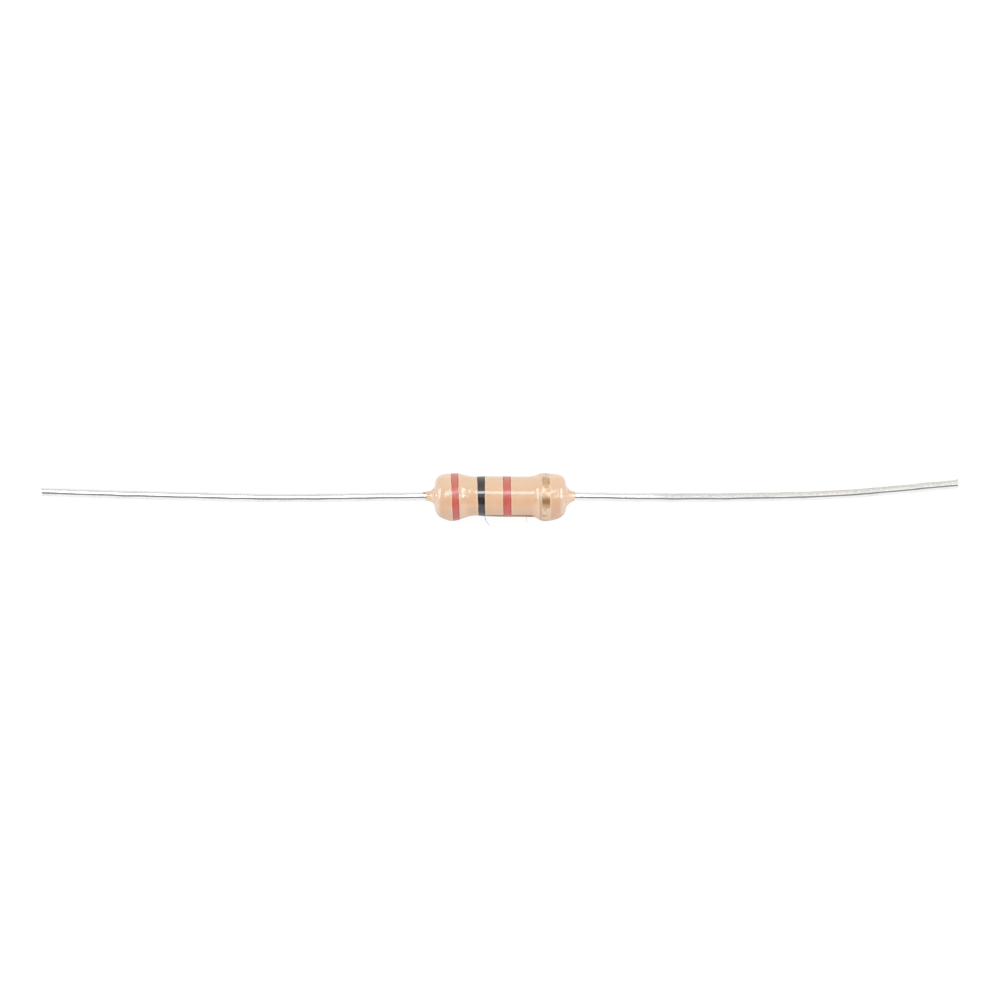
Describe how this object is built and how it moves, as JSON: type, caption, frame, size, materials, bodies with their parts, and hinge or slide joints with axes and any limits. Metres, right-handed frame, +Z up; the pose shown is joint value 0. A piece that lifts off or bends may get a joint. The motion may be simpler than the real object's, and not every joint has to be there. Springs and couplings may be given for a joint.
{
  "type": "axial resistor",
  "caption": "Axial carbon-film resistor: dog-bone lacquered body with painted colour bands and a bare wire lead leaving each end, lying on its side.",
  "frame": {"origin": "on the surface that the part lies on, under the middle of the body", "axes": "+X along the body's axis towards the tolerance band, +Z up, +Y to the side that both cut tips lean to"},
  "size_m": [0.0652, 0.0034, 0.0034],
  "materials": {
    "ceramic": "matte",
    "carbon": "satin",
    "cup_metal": "satin",
    "tinned_wire": "satin",
    "coat_lacquer": "gloss",
    "red_paint": "satin",
    "black_paint": "satin",
    "gold_paint": "satin"
  },
  "bodies": {
    "root": {"ceramic_rod": "ceramic", "carbon_film": "carbon", "end_cup_left": "cup_metal", "end_cup_right": "cup_metal", "lead_left": "tinned_wire", "lead_right": "tinned_wire", "body_coat": "coat_lacquer", "band_1_red": "red_paint", "band_2_black": "black_paint", "band_3_red": "red_paint", "band_4_gold": "gold_paint"}
  },
  "joints": []
}
